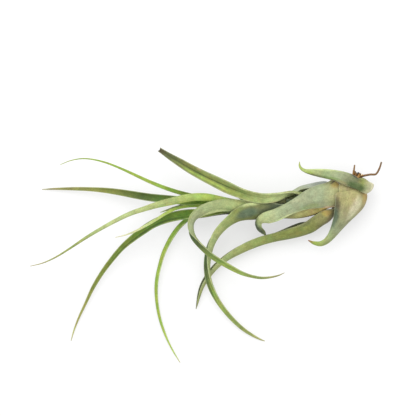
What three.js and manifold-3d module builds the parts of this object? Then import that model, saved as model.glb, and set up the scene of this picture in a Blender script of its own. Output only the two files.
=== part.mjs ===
// An air plant lying on its side: a short curved stem, its roots, and sixteen channelled leaves.
// Millimetres, +Z up. The plant rests on Z = 0, its tip end points to -X and its roots to +X.
import * as THREE from "three";
import { mergeVertices } from "three/addons/utils/BufferGeometryUtils.js";
import Module from "manifold-3d";

// ---- Driving dimensions ----

const ACROSS = 6; // points across each face of a leaf
const STEPS_PER_ROW = 2; // rings made from one row of a leaf's table to the next
const MARGIN_SHARE = 0.62; // a leaf's thickness at its margins, as a share of its middle
const THINNEST = 0.6; // no part of a blade is thinner than this
const FLOOR = 0; // the height of the surface that the plant lies on

// The stem's axis from its root end to its growing tip, as [x, y, z, radius].
const STEM_ROWS = [
  [68.0, 35.1, 7.0, 2.3],
  [66.6, 32.0, 6.8, 2.7],
  [63.0, 27.9, 6.4, 3.0],
  [57.6, 24.8, 6.2, 3.0],
  [50.4, 23.4, 6.2, 2.9],
  [42.3, 22.7, 6.5, 2.7],
  [34.2, 22.3, 7.0, 2.5],
  [25.2, 22.1, 7.7, 2.2],
  [16.2, 21.8, 8.5, 1.6],
  [9.6, 21.6, 8.9, 0.9],
];
const STEM_SIDES = 10;

// One leaf holds two lists of rows, from its base to its tip.
//   sheath: [along, around, radius, reach], the part that hugs the stem. along is in mm from the stem's
//     root end, around in degrees (0 faces up), radius from the stem's axis to the middle of the sheath,
//     and reach is how many degrees the sheath goes round to each side.
//   blade: [x, y, z, width, turn, bend], the free part. x, y, z is the middle of the section, width its
//     chord, turn how far the channel's open side is turned from facing up, and bend half of the angle
//     that the section curves through.
//   notch, where there is one, is how deep the middle of the dry end is split.
const LEAVES = [
  {
    name: "leaf_01",
    colour: "#aabb93",
    thickness: [1.4, 0.6],
    sheath: [
    ],
    blade: [
      [71.7, 32.3, 6.6, 3.1, 10, 40],
      [73.8, 30.2, 8.7, 4.5, 15, 50],
      [72.9, 30.2, 12.2, 5.5, 190, 58],
      [70.4, 31.7, 14.6, 6.1, 196, 60],
      [67.7, 32.4, 15.4, 5, 198, 58],
      [64.4, 34, 15.6, 6.1, 204, 58],
      [60.3, 35.5, 15.4, 5.5, 206, 55],
      [55.8, 36.4, 15, 4.9, 206, 52],
      [51.3, 37, 14.8, 4.1, 206, 50],
      [47.5, 37.4, 14.8, 2.9, 206, 48],
      [44.7, 37.9, 15.1, 1.8, 206, 45],
      [42.8, 39, 15.6, 1.3, 208, 40],
      [42.1, 40.4, 16.2, 0.9, 208, 35],
      [42.1, 41.9, 17, 0.4, 208, 22],
    ],
  },
  {
    name: "leaf_02",
    colour: "#aeb07a",
    thickness: [1.9, 0.7],
    sheath: [
      [1.6, -30, 3.9, 58],
    ],
    blade: [
      [66.2, 31, 10.8, 12.4, 150, 62],
      [66.6, 28.4, 11.6, 15.5, 147, 62],
      [66.3, 25.7, 11.8, 16.7, 146, 62],
      [65.2, 22.5, 11.4, 15.7, 145, 62],
      [63.3, 19.1, 10.4, 12.6, 143, 60],
      [61.1, 15.5, 9.2, 8.8, 141, 58],
      [58.6, 11.6, 8, 5.8, 140, 56],
      [56.2, 8.2, 7.2, 4, 138, 54],
      [53.9, 6, 6.8, 3.3, 136, 52],
      [51.4, 5, 6.6, 2.9, 134, 50],
      [48.7, 5.4, 6.7, 2, 134, 45],
      [46.1, 6.6, 7.1, 0.6, 134, 22],
    ],
  },
  {
    name: "leaf_03",
    colour: "#9ca89f",
    thickness: [1.6, 0.6],
    sheath: [
      [8, 108, 7, 36],
      [13, 118, 5.5, 52],
    ],
    blade: [
      [54.5, 29.8, 3.1, 10.6, 304, 82],
      [46.8, 28.9, 2.7, 9.7, 306, 82],
      [42.3, 28.3, 2.45, 7.9, 304, 78],
      [38.7, 27.1, 2.9, 5.9, 296, 72],
      [35.1, 26.1, 2.6, 4, 291, 62],
      [31.5, 25.4, 2.1, 2.5, 286, 52],
      [28.4, 25.1, 1.6, 0.8, 280, 22],
    ],
  },
  {
    name: "leaf_04",
    colour: "#a5b987",
    thickness: [1.6, 0.7],
    sheath: [
      [7.6, 22, 4.1, 56],
    ],
    blade: [
      [60.8, 28.7, 10.1, 12.2, 174, 62],
      [56.2, 27.1, 12.2, 11.3, 175, 60],
      [51.3, 26.3, 13.5, 10.3, 176, 55],
      [46.8, 25.1, 14.3, 8.8, 177, 48],
      [42.3, 23.2, 14.9, 6.7, 178, 40],
      [36.9, 20.6, 15.1, 5.6, 180, 36],
      [31.5, 18, 15, 5.6, 180, 38],
      [27.4, 16.7, 14.7, 5.5, 176, 42],
      [24.9, 15.4, 13, 4.6, 152, 54],
      [23.9, 13.7, 10.2, 3.7, 112, 70],
      [24.3, 11.7, 7.6, 3.3, 84, 88],
      [25.6, 10.1, 5.8, 3, 76, 92],
      [26.7, 8.7, 4.8, 0.9, 72, 30],
    ],
  },
  {
    name: "leaf_05",
    colour: "#94a157",
    thickness: [1.5, 0.6],
    sheath: [
      [14.5, -102, 4.05, 46],
    ],
    blade: [
      [54.7, 17.8, 5.9, 8.5, 112, 78],
      [51.1, 15.4, 5.6, 8.6, 112, 80],
      [47, 13, 5.2, 8.2, 95, 98],
      [42.3, 11.5, 4.9, 6.9, 82, 112],
      [36.9, 9.9, 4.5, 6.1, 84, 112],
      [31.1, 8.3, 4.1, 4.9, 90, 110],
      [25.2, 6.7, 3.9, 4.8, 92, 110],
      [19.4, 4.5, 3.7, 4.7, 92, 110],
      [13.9, 1.8, 3.4, 4.4, 88, 108],
      [8.9, -1.3, 2.9, 3.7, 84, 104],
      [4, -5.5, 2.5, 3.3, 78, 100],
      [0.5, -10, 2.2, 3, 72, 98],
      [-1.8, -14, 2, 2.6, 72, 95],
      [-3.1, -17.8, 1.8, 2, 72, 92],
      [-3.9, -21.2, 1.8, 1.3, 70, 72],
      [-4.5, -24.2, 2.3, 0.5, 62, 22],
    ],
  },
  {
    name: "leaf_06",
    colour: "#93a050",
    thickness: [1.3, 0.8],
    notch: 1.1,
    sheath: [
      [24, 78, 4.2, 44],
      [30, 76, 4.9, 46],
    ],
    blade: [
      [37.8, 27.6, 11.6, 4.5, 292, 48],
      [31.1, 26, 14.1, 5, 322, 42],
      [25.2, 25.6, 14.9, 5, 334, 44],
      [19.8, 26.6, 15.2, 4.9, 338, 50],
      [15.3, 28.2, 15.8, 5.3, 326, 58],
      [9.9, 30.4, 16.3, 5.4, 342, 56],
      [4, 33.2, 16.9, 5, 350, 55],
      [-1.8, 36, 17.6, 4.5, 353, 54],
      [-7.2, 38.9, 18.3, 4.1, 355, 52],
      [-11.7, 41.6, 18.9, 3.6, 356, 50],
      [-16.2, 44.3, 19.5, 2.8, 356, 48],
      [-19.4, 46.4, 19.9, 2.2, 356, 45],
      [-21.2, 47.6, 20.1, 2, 356, 42],
    ],
  },
  {
    name: "leaf_07",
    colour: "#a0ae66",
    thickness: [1.4, 0.6],
    sheath: [
      [17.5, -6, 3.95, 38],
      [21, -18, 3.95, 48],
      [26, -41, 4.9, 57],
      [32, -49, 5.7, 56],
      [40, -46, 5.3, 54],
    ],
    blade: [
      [25.2, 19.5, 12, 8.3, 152, 62],
      [19.8, 19.1, 12.6, 8.6, 148, 62],
      [15.3, 17.8, 12.4, 7.8, 138, 62],
      [11.2, 15.4, 11.5, 6.4, 124, 64],
      [7.4, 12.4, 10.4, 6.3, 106, 75],
      [4.5, 9.2, 9.4, 6.1, 94, 82],
      [2.4, 5.4, 8.5, 5.5, 86, 85],
      [1.3, 1.8, 7.7, 5.1, 80, 84],
      [0.7, -2.2, 7, 4.7, 73, 80],
      [0.6, -6.3, 6.3, 4.2, 65, 72],
      [1.3, -11.2, 5.4, 3.8, 55, 64],
      [3.1, -16.2, 4.6, 3.3, 46, 58],
      [5.6, -20.9, 3.9, 2.7, 40, 55],
      [8.7, -25.2, 3.3, 2.4, 36, 52],
      [12.5, -29.5, 2.3, 2.1, 34, 50],
      [16.7, -33.3, 1.6, 1.8, 32, 48],
      [21.2, -36.3, 1, 1.3, 32, 44],
      [24.3, -37.9, 0.6, 0.8, 32, 36],
      [26.4, -38.7, 0.35, 0.4, 32, 22],
    ],
  },
  {
    name: "leaf_08",
    colour: "#8d9c72",
    thickness: [1.3, 0.6],
    sheath: [
      [27, 186, 4.1, 42],
      [34, 184, 4.6, 44],
    ],
    blade: [
      [31.5, 20.9, 2.5, 7.7, 4, 52],
      [26.1, 21.9, 1.9, 6.8, 4, 52],
      [21.2, 23.9, 1.3, 5.6, 4, 50],
      [16.7, 26.4, 0.8, 3.9, 4, 46],
      [12.8, 28.8, 0.5, 2.1, 2, 40],
      [10.3, 30.4, 0.45, 0.7, 0, 22],
    ],
  },
  {
    name: "leaf_09",
    colour: "#aac263",
    thickness: [1.1, 0.6],
    sheath: [
      [37, 45, 3.4, 30],
      [43, 50, 3.25, 33],
      [50, 54, 2.95, 33],
      [56, 54, 2.6, 33],
    ],
    blade: [
      [10.3, 24, 10.2, 3.3, 192, 50],
      [5.9, 24.9, 10.7, 3.4, 190, 50],
      [0.9, 25.9, 11.6, 3.5, 188, 50],
      [-4, 26.1, 12.8, 3.5, 188, 48],
      [-9, 25.6, 14.4, 3.5, 187, 46],
      [-15.3, 24.2, 16.6, 3.3, 186, 46],
      [-21.6, 22.7, 19, 2.8, 185, 46],
      [-27.4, 20.9, 21.3, 2.3, 185, 45],
      [-34.2, 18.6, 23.8, 2, 184, 44],
      [-41, 15.3, 26.2, 1.8, 184, 42],
      [-47.7, 11.6, 28.4, 1.5, 184, 42],
      [-54.5, 7.5, 30.2, 1.3, 184, 40],
      [-61.2, 3, 31.6, 0.9, 184, 38],
      [-67.5, -0.9, 32.4, 0.7, 184, 35],
      [-73.4, -3.6, 32.8, 0.5, 184, 30],
      [-79, -5, 32.8, 0.3, 184, 22],
    ],
  },
  {
    name: "leaf_10",
    colour: "#a4b86f",
    thickness: [1.1, 0.6],
    sheath: [
      [43, -34, 3.3, 38],
      [50, -38, 3.15, 37],
    ],
    blade: [
      [15.3, 21.7, 12.4, 5, 174, 50],
      [11.2, 22.2, 13.2, 5.4, 172, 48],
      [5.9, 22.1, 14, 5.4, 171, 48],
      [0.6, 20.7, 14.8, 5.3, 165, 50],
      [-3, 19, 15.3, 5, 150, 55],
      [-5.7, 16.5, 15.5, 4.9, 126, 60],
      [-6.8, 13.6, 15.5, 4.6, 106, 74],
      [-6.7, 10.8, 15.3, 4.5, 88, 80],
      [-5.5, 7.9, 14.9, 4, 68, 66],
      [-3.5, 5.3, 14.4, 3.3, 54, 58],
      [-0.6, 2.4, 13.6, 3.1, 46, 55],
      [3.2, -0.8, 12.7, 3, 42, 54],
      [7.4, -3.4, 11.9, 2.9, 40, 52],
      [11.7, -5.9, 11.2, 2.6, 38, 50],
      [16, -8.1, 10.7, 2.1, 38, 48],
      [20.2, -9.5, 10.4, 1.6, 38, 46],
      [24.8, -10.3, 10.3, 1.3, 38, 44],
      [29.2, -10, 10.5, 1, 40, 42],
      [32.9, -9.1, 10.8, 0.7, 42, 34],
      [35.3, -8, 11.2, 0.3, 44, 22],
    ],
  },
  {
    name: "leaf_11",
    colour: "#6d8337",
    thickness: [1.1, 0.6],
    sheath: [
      [55, 134, 2.9, 34],
      [61, 137, 2.8, 36],
    ],
    blade: [
      [5.9, 22.7, 7.2, 3.2, 22, 48],
      [-0.5, 22.9, 7.2, 3.6, 12, 50],
      [-5.9, 23.5, 7.6, 3.7, 8, 50],
      [-11.7, 24.5, 7.4, 3.6, 6, 50],
      [-18.4, 25.2, 7, 3.5, 4, 50],
      [-25.2, 25.9, 6.5, 3.4, 2, 50],
      [-31.9, 27, 5.9, 3.2, 0, 48],
      [-38.7, 28.2, 5.1, 2.8, 0, 46],
      [-45.5, 29.1, 4.3, 2.3, 0, 45],
      [-52.2, 29.6, 3.4, 1.8, 0, 42],
      [-59, 29.8, 2.4, 1.5, 0, 40],
      [-64.8, 29.8, 1.6, 1.1, 0, 38],
      [-69.8, 29.7, 0.9, 0.7, 0, 32],
      [-73.7, 29.5, 0.35, 0.3, 0, 22],
    ],
  },
  {
    name: "leaf_12",
    colour: "#5f822c",
    thickness: [1, 0.6],
    sheath: [
      [55, -96, 2.9, 34],
      [60, -92, 2.8, 33],
    ],
    blade: [
      [3.6, 19.1, 9.2, 3.9, 40, 54],
      [-1.8, 18.6, 9.4, 4.1, 22, 54],
      [-7.2, 18.4, 9.4, 4.3, 12, 54],
      [-12.6, 17.7, 9.3, 4.3, 6, 54],
      [-18, 16.4, 9, 4.1, 2, 54],
      [-23.4, 14.2, 8.5, 3.7, 0, 54],
      [-28.3, 11.1, 7.8, 3.6, 0, 54],
      [-32.5, 7.9, 6.8, 3.1, 0, 52],
      [-37.5, 3.6, 5.6, 2.5, 0, 50],
      [-42.2, -1.8, 4.5, 2.2, 0, 50],
      [-46.8, -8, 3.5, 1.9, 0, 48],
      [-50.9, -14.8, 2.6, 1.6, 0, 45],
      [-54.2, -21.8, 1.8, 1.2, 0, 42],
      [-57.3, -28.4, 1.2, 0.9, 0, 40],
      [-59.5, -34.2, 0.7, 0.6, 0, 35],
      [-60.7, -38.5, 0.35, 0.3, 0, 22],
    ],
  },
  {
    name: "leaf_13",
    colour: "#8dae41",
    thickness: [0.9, 0.6],
    sheath: [
      [58, -157, 3.1, 25],
    ],
    blade: [
      [-0.5, 19.3, 5, 2.7, 52, 52],
      [-5, 18, 4.9, 2.7, 52, 52],
      [-8.6, 15.8, 4.9, 2.6, 50, 52],
      [-11.9, 12.8, 4.8, 2.6, 48, 54],
      [-14.8, 9, 4.7, 2.5, 45, 54],
      [-17.3, 4.7, 4.6, 2.3, 42, 54],
      [-19.3, 0.2, 4.2, 2.1, 40, 52],
      [-20.7, -4.5, 3.7, 1.9, 38, 50],
      [-21.8, -9.2, 3.2, 1.8, 36, 50],
      [-22.4, -14.2, 2.7, 1.7, 34, 48],
      [-22.3, -19.1, 2.3, 1.5, 32, 46],
      [-21.7, -24.1, 2, 1.4, 30, 45],
      [-20.6, -29.2, 1.7, 1.3, 28, 44],
      [-18.9, -34.4, 1.3, 1.1, 28, 42],
      [-16.7, -39.6, 1.05, 0.8, 28, 38],
      [-14, -44.6, 0.7, 0.6, 28, 34],
      [-11.7, -48.3, 0.35, 0.3, 28, 22],
    ],
  },
  {
    name: "leaf_14",
    colour: "#b5c94f",
    thickness: [0.8, 0.6],
    sheath: [
    ],
    blade: [
      [6.3, 21.8, 9.6, 1.4, 0, 42],
      [-0.5, 22.1, 9.7, 1.4, 0, 42],
      [-7.2, 22.1, 10.6, 1.4, 0, 42],
      [-13.1, 21, 12, 1.3, 0, 42],
      [-18, 18.8, 13.4, 1.3, 0, 42],
      [-22.5, 15.9, 14.8, 1.2, 0, 42],
      [-26.6, 13.5, 16.2, 1.1, 0, 40],
      [-30.6, 11.3, 17.6, 0.9, 0, 38],
      [-35.6, 9.2, 19.2, 0.6, 0, 35],
      [-40.8, 7.9, 20.9, 0.3, 0, 22],
    ],
  },
  {
    name: "leaf_15",
    colour: "#a2c23c",
    thickness: [0.8, 0.6],
    sheath: [
    ],
    blade: [
      [5.9, 24.2, 9.3, 1.4, 0, 42],
      [0, 25.5, 9.3, 1.8, 0, 42],
      [-5.9, 26.6, 9.9, 1.9, 0, 42],
      [-12.6, 28.3, 11.2, 1.8, 0, 42],
      [-18.4, 30.2, 13, 1.7, 0, 42],
      [-25.2, 32.9, 15.2, 1.5, 0, 42],
      [-31.9, 36, 17.4, 1.3, 0, 42],
      [-38.7, 39.1, 19.6, 1, 0, 40],
      [-45.5, 41.7, 21.7, 0.8, 0, 38],
      [-52.2, 43.2, 23.6, 0.6, 0, 35],
      [-56.7, 43.3, 24.7, 0.5, 0, 32],
      [-61.2, 42.4, 25.6, 0.4, 0, 30],
      [-65.5, 40.7, 26.3, 0.3, 0, 22],
    ],
  },
  {
    name: "leaf_16",
    colour: "#5c7a2e",
    thickness: [0.8, 0.6],
    sheath: [
    ],
    blade: [
      [3.6, 22.9, 5.4, 1.5, 0, 45],
      [-0.9, 23.1, 5, 1.7, 0, 45],
      [-5.9, 22.9, 4.9, 1.6, 0, 45],
      [-9.9, 22.3, 4.8, 1.4, 0, 42],
      [-14, 21.4, 4.6, 1, 0, 40],
      [-17.6, 20.2, 4.4, 0.7, 0, 35],
      [-20.5, 19.2, 4.2, 0.3, 0, 22],
    ],
  },
];

// The roots, as points that each one follows, with its radius.
const ROOTS = [
  {
    radius: 0.42,
    points: [
      [68.6, 34.6, 7.4],
      [70.9, 35.6, 7.8],
      [73.8, 36.2, 8.0],
      [76.4, 36.4, 8.2],
      [77.9, 38.6, 8.5],
      [79.0, 41.9, 9.0],
    ],
  },
  {
    radius: 0.38,
    points: [
      [66.8, 35.2, 7.4],
      [66.6, 38.0, 8.6],
      [66.9, 40.5, 9.2],
    ],
  },
];

// The broken root stubs on the stem's root end, spread over it by a seeded rule.
const STUBS = { count: 9, seed: 7, spread: 2.0, radius: [0.45, 0.85], length: [1.2, 2.6] };

// ---- Curves ----

const UP = new THREE.Vector3(0, 0, 1);
const rad = THREE.MathUtils.degToRad;

function curveThrough(points) {
  return new THREE.CatmullRomCurve3(points, false, "centripetal");
}

// The value at u (0 to 1) of a smooth run through a list of numbers.
function valueAt(values, u) {
  const last = values.length - 1;
  const at = Math.min(u * last, last - 1e-9);
  const i = Math.floor(at);
  const t = at - i;
  const p = values[Math.max(i - 1, 0)];
  const q = values[i];
  const r = values[i + 1];
  const s = values[Math.min(i + 2, last)];
  const slopeQ = (r - p) / 2;
  const slopeR = (s - q) / 2;
  const t2 = t * t;
  const t3 = t2 * t;
  return (2 * t3 - 3 * t2 + 1) * q + (t3 - 2 * t2 + t) * slopeQ + (3 * t2 - 2 * t3) * r + (t3 - t2) * slopeR;
}

const stemAxis = curveThrough(STEM_ROWS.map(([x, y, z]) => new THREE.Vector3(x, y, z)));
const stemLength = stemAxis.getLength();

// ---- Leaves ----

// A sheath row as a section: the middle of the blade's surface, the way to the stem, width and bend.
function sheathSection([along, around, radius, reach]) {
  const u = along / stemLength;
  const tangent = stemAxis.getTangentAt(u);
  const up = UP.clone().addScaledVector(tangent, -UP.dot(tangent)).normalize();
  const side = tangent.clone().cross(up);
  const outward = up.multiplyScalar(Math.cos(rad(around))).addScaledVector(side, Math.sin(rad(around)));
  const point = stemAxis.getPointAt(u).addScaledVector(outward, radius);
  return { point, open: outward.negate(), width: 2 * radius * rad(reach), bend: rad(reach) };
}

// A blade row as a section. heading is the leaf's direction there.
function bladeSection([x, y, z, chord, turn, bendDegrees], heading) {
  const bend = rad(bendDegrees);
  const up = UP.clone().addScaledVector(heading, -UP.dot(heading)).normalize();
  const side = heading.clone().cross(up);
  const open = up.multiplyScalar(Math.cos(rad(turn))).addScaledVector(side, Math.sin(rad(turn)));
  const radius = Math.max(chord - THINNEST * Math.sin(bend), THINNEST / 2) / (2 * Math.sin(bend));
  const depth = radius * (1 - Math.cos(bend));
  const point = new THREE.Vector3(x, y, z).addScaledVector(open, -depth / 2);
  return { point, open, width: 2 * radius * bend, bend };
}

function leafSections(leaf) {
  const sheath = leaf.sheath.map(sheathSection);
  const path = [...sheath.map((s) => s.point), ...leaf.blade.map(([x, y, z]) => new THREE.Vector3(x, y, z))];
  const blade = leaf.blade.map((row, i) => {
    const at = sheath.length + i;
    const before = path[Math.max(at - 1, 0)];
    const after = path[Math.min(at + 1, path.length - 1)];
    return bladeSection(row, after.clone().sub(before).normalize());
  });
  return [...sheath, ...blade];
}

// The closed ring of points round one section, outer face first, then back along the inner face.
function leafRing(middle, heading, open, width, bend, thickness) {
  const side = heading.clone().cross(open);
  const radius = width / (2 * bend);
  const outer = [];
  const inner = [];
  for (let j = 0; j < ACROSS; j++) {
    const s = (2 * j) / (ACROSS - 1) - 1;
    const angle = s * bend;
    const point = middle
      .clone()
      .addScaledVector(side, radius * Math.sin(angle))
      .addScaledVector(open, radius * (1 - Math.cos(angle)));
    const inward = open.clone().multiplyScalar(Math.cos(angle)).addScaledVector(side, -Math.sin(angle));
    const half = Math.max(thickness * (1 - (1 - MARGIN_SHARE) * s * s), THINNEST) / 2;
    outer.push(point.clone().addScaledVector(inward, -half));
    inner.unshift(point.clone().addScaledVector(inward, half));
  }
  for (const point of outer) point.z = Math.max(point.z, FLOOR);
  for (const point of inner) point.z = Math.max(point.z, FLOOR + THINNEST);
  return [...outer, ...inner];
}

// Closed rings, each of the same number of points, as one closed body.
function loft(rings, capFaces) {
  const count = rings[0].length;
  const vertices = rings.flat().flatMap((p) => [p.x, p.y, p.z]);
  const faces = [];
  for (let i = 0; i + 1 < rings.length; i++) {
    for (let k = 0; k < count; k++) {
      const next = (k + 1) % count;
      const a = i * count + k;
      const b = i * count + next;
      const c = (i + 1) * count + next;
      const d = (i + 1) * count + k;
      if (k < count / 2) faces.push(a, d, b, b, d, c);
      else faces.push(a, d, c, a, c, b);
    }
  }
  const last = (rings.length - 1) * count;
  for (const [a, b, c] of capFaces) {
    faces.push(a, b, c, last + a, last + c, last + b);
  }
  const geometry = new THREE.BufferGeometry();
  geometry.setAttribute("position", new THREE.Float32BufferAttribute(vertices, 3));
  geometry.setIndex(faces);
  return geometry;
}

// A leaf's end is a narrow strip between its two faces.
function stripCap(across) {
  const faces = [];
  for (let j = 0; j + 1 < across; j++) {
    const inner = 2 * across - 1 - j;
    faces.push([j, j + 1, inner], [j + 1, inner - 1, inner]);
  }
  return faces;
}

// The middle of an end ring drawn back along the leaf.
function splitEnd(ring, heading, depth) {
  ring.forEach((point, k) => {
    const j = k < ACROSS ? k : 2 * ACROSS - 1 - k;
    const s = (2 * j) / (ACROSS - 1) - 1;
    point.addScaledVector(heading, -depth * (1 - Math.abs(s)));
  });
}

function leafGeometry(leaf) {
  const sections = leafSections(leaf);
  const line = curveThrough(sections.map((s) => s.point));
  const steps = (sections.length - 1) * STEPS_PER_ROW;
  const [baseThickness, tipThickness] = leaf.thickness;
  const rings = [];
  for (let i = 0; i <= steps; i++) {
    const u = i / steps;
    const at = (pick) => valueAt(sections.map(pick), u);
    const heading = line.getTangent(u);
    const open = new THREE.Vector3(
      at((s) => s.open.x),
      at((s) => s.open.y),
      at((s) => s.open.z),
    );
    open.addScaledVector(heading, -open.dot(heading)).normalize();
    const thickness = THREE.MathUtils.lerp(baseThickness, tipThickness, u);
    const width = at((s) => s.width);
    const bend = at((s) => s.bend);
    rings.push(leafRing(line.getPoint(u), heading, open, width, bend, thickness));
  }
  if (leaf.notch) splitEnd(rings[steps], line.getTangent(1), leaf.notch);
  return loft(rings, stripCap(ACROSS));
}

// ---- Stem and roots ----

// A round body along a curve, with a radius that depends on u.
function tubeGeometry(curve, radiusAt, steps, sides) {
  const rings = [];
  for (let i = 0; i <= steps; i++) {
    const u = i / steps;
    const heading = curve.getTangent(u);
    const first = UP.clone().addScaledVector(heading, -UP.dot(heading)).normalize();
    const second = first.clone().cross(heading);
    const centre = curve.getPoint(u);
    const ring = [];
    for (let k = 0; k < sides; k++) {
      const angle = (2 * Math.PI * k) / sides;
      const point = centre.clone().addScaledVector(first, radiusAt(u) * Math.cos(angle));
      ring.push(point.addScaledVector(second, radiusAt(u) * Math.sin(angle)));
    }
    rings.push(ring);
  }
  const fan = [];
  for (let k = 1; k + 1 < sides; k++) fan.push([0, k, k + 1]);
  return loft(rings, fan);
}

const wasm = await Module();
wasm.setup();

function solidOf(geometry) {
  const bare = geometry.clone();
  bare.deleteAttribute("normal");
  bare.deleteAttribute("uv");
  const merged = mergeVertices(bare, 1e-4);
  const vertProperties = merged.attributes.position.array;
  const triVerts = new Uint32Array(merged.index.array);
  return new wasm.Manifold(new wasm.Mesh({ numProp: 3, vertProperties, triVerts }));
}

function geometryOf(solid) {
  const mesh = solid.getMesh();
  const geometry = new THREE.BufferGeometry();
  geometry.setAttribute("position", new THREE.BufferAttribute(mesh.vertProperties, 3));
  geometry.setIndex(new THREE.BufferAttribute(mesh.triVerts, 1));
  return geometry;
}

function stemGeometry() {
  const radii = STEM_ROWS.map(([, , , radius]) => radius);
  return tubeGeometry(stemAxis, (u) => valueAt(radii, u), 18, STEM_SIDES);
}

function rootGeometry(root) {
  const curve = curveThrough(root.points.map((p) => new THREE.Vector3(...p)));
  return tubeGeometry(curve, (u) => root.radius * (1 - 0.3 * u * u), root.points.length * 3, 6);
}

// Numbers from 0 to 1 that are the same on every run.
function seededNumbers(seed) {
  let state = seed;
  return () => {
    state = (state * 16807) % 2147483647;
    return state / 2147483647;
  };
}

function stubGeometries() {
  const next = seededNumbers(STUBS.seed);
  const between = ([low, high]) => low + (high - low) * next();
  const centre = stemAxis.getPointAt(0);
  const outward = stemAxis.getTangentAt(0).negate();
  const across = UP.clone().cross(outward).normalize();
  const goldenAngle = Math.PI * (3 - Math.sqrt(5));
  const stubs = [];
  for (let i = 0; i < STUBS.count; i++) {
    const distance = STUBS.spread * Math.sqrt((i + 0.5) / STUBS.count);
    const sideways = distance * Math.cos(i * goldenAngle);
    const upwards = distance * Math.sin(i * goldenAngle);
    const start = centre.clone().addScaledVector(across, sideways).addScaledVector(UP, upwards);
    const lean = outward.clone().addScaledVector(across, 0.25 * sideways).addScaledVector(UP, 0.25 * upwards);
    const end = start.clone().addScaledVector(lean.normalize(), between(STUBS.length));
    start.addScaledVector(outward, -0.8);
    const radius = between(STUBS.radius);
    stubs.push(tubeGeometry(curveThrough([start, end]), (u) => radius * (1 - 0.25 * u), 1, 7));
  }
  return stubs;
}

function stemAndRoots() {
  let solid = solidOf(stemGeometry());
  for (const part of [...ROOTS.map(rootGeometry), ...stubGeometries()]) solid = solid.add(solidOf(part));
  return geometryOf(solid);
}

// ---- The plant ----

function piece(name, geometry, colour, roughness) {
  const material = new THREE.MeshStandardMaterial({ color: colour, roughness, metalness: 0 });
  const mesh = new THREE.Mesh(geometry, material);
  mesh.name = name;
  return mesh;
}

const plant = new THREE.Group();
plant.name = "air_plant";
plant.add(piece("stem_and_roots", stemAndRoots(), "#8a5f34", 0.85));
for (const leaf of LEAVES) plant.add(piece(leaf.name, leafGeometry(leaf), leaf.colour, 0.7));

export default plant;
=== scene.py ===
# %% [markdown]
# # An air plant, laid on its side
# This lesson dresses a small air plant: a short curved stem, a few roots, and sixteen channelled
# leaves. The measured model of the plant is loaded first and never moved. Each step then grows one
# real piece over it, finer than the measured one, and gives it a finish made only from nodes.

import math

import bpy
import numpy as np
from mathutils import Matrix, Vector


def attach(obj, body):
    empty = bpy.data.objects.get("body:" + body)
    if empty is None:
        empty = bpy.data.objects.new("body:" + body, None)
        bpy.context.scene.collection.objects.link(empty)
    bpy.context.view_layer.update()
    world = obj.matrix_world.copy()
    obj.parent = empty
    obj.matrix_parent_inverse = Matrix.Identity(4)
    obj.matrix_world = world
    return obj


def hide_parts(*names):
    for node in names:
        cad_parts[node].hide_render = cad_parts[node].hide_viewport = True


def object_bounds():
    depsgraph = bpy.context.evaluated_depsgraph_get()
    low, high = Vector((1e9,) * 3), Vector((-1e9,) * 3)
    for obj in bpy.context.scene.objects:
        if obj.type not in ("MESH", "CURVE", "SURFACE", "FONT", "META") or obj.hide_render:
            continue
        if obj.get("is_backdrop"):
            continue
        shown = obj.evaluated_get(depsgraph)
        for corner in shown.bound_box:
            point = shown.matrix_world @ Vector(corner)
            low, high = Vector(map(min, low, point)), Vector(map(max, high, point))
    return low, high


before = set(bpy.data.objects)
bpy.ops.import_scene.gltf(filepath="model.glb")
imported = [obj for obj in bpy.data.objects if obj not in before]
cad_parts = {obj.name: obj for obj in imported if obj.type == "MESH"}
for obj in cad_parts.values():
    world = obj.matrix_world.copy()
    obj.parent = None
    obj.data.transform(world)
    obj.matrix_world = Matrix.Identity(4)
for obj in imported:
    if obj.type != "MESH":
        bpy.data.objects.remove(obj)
measured_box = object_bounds()
MM = 0.001  # the tables below are in millimetres, and Blender works in metres
print("pieces in the measured plant:", len(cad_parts))

# %% [markdown]
# ## Smooth lines through a few points
# A leaf is described by a short table of rows from its base to its tip. What lies between two rows
# is filled in by a smooth line that passes through every row, as a bent wire passes through pins.
# Spacing the curve by the root of each gap keeps it from looping where rows sit close together.


# %% Smooth lines
def line_at(points, at):
    """The point `at` rows along a smooth line through points, and the line's direction there."""
    last = len(points) - 1
    i = min(int(at), last - 1)
    t = at - i
    p1, p2 = points[i], points[i + 1]
    p0 = points[i - 1] if i else 2 * p1 - p2
    p3 = points[i + 2] if i + 2 <= last else 2 * p2 - p1
    gap0, gap1, gap2 = (math.sqrt(np.linalg.norm(b - a)) for a, b in ((p0, p1), (p1, p2), (p2, p3)))
    start = gap1 * ((p1 - p0) / gap0 - (p2 - p0) / (gap0 + gap1) + (p2 - p1) / gap1)
    end = gap1 * ((p2 - p1) / gap1 - (p3 - p1) / (gap1 + gap2) + (p3 - p2) / gap2)
    bow = 2 * p1 - 2 * p2 + start + end
    lean = 3 * (p2 - p1) - 2 * start - end
    point = bow * t**3 + lean * t**2 + start * t + p1
    heading = 3 * bow * t**2 + 2 * lean * t + start
    return point, heading / np.linalg.norm(heading)


def value_at(values, at):
    """The number `at` rows along a smooth run through a list of numbers."""
    last = len(values) - 1
    i = min(int(at), last - 1)
    t = at - i
    p, q, r, s = (values[min(max(k, 0), last)] for k in (i - 1, i, i + 1, i + 2))
    start, end = (r - p) / 2, (s - q) / 2
    bow = 2 * q - 2 * r + start + end
    lean = 3 * (r - q) - 2 * start - end
    return bow * t**3 + lean * t**2 + start * t + q


print("halfway through 0, 1, 4:", value_at([0, 1, 4], 1.0))

# %% [markdown]
# ## The stem's line
# The stem is hidden by the leaves that clasp it, but every leaf starts on it. Its line runs from
# the root end on the right to the growing tip near the middle of the plant. A leaf's sheath is
# placed by how far along this line it sits and how far round it.

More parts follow.
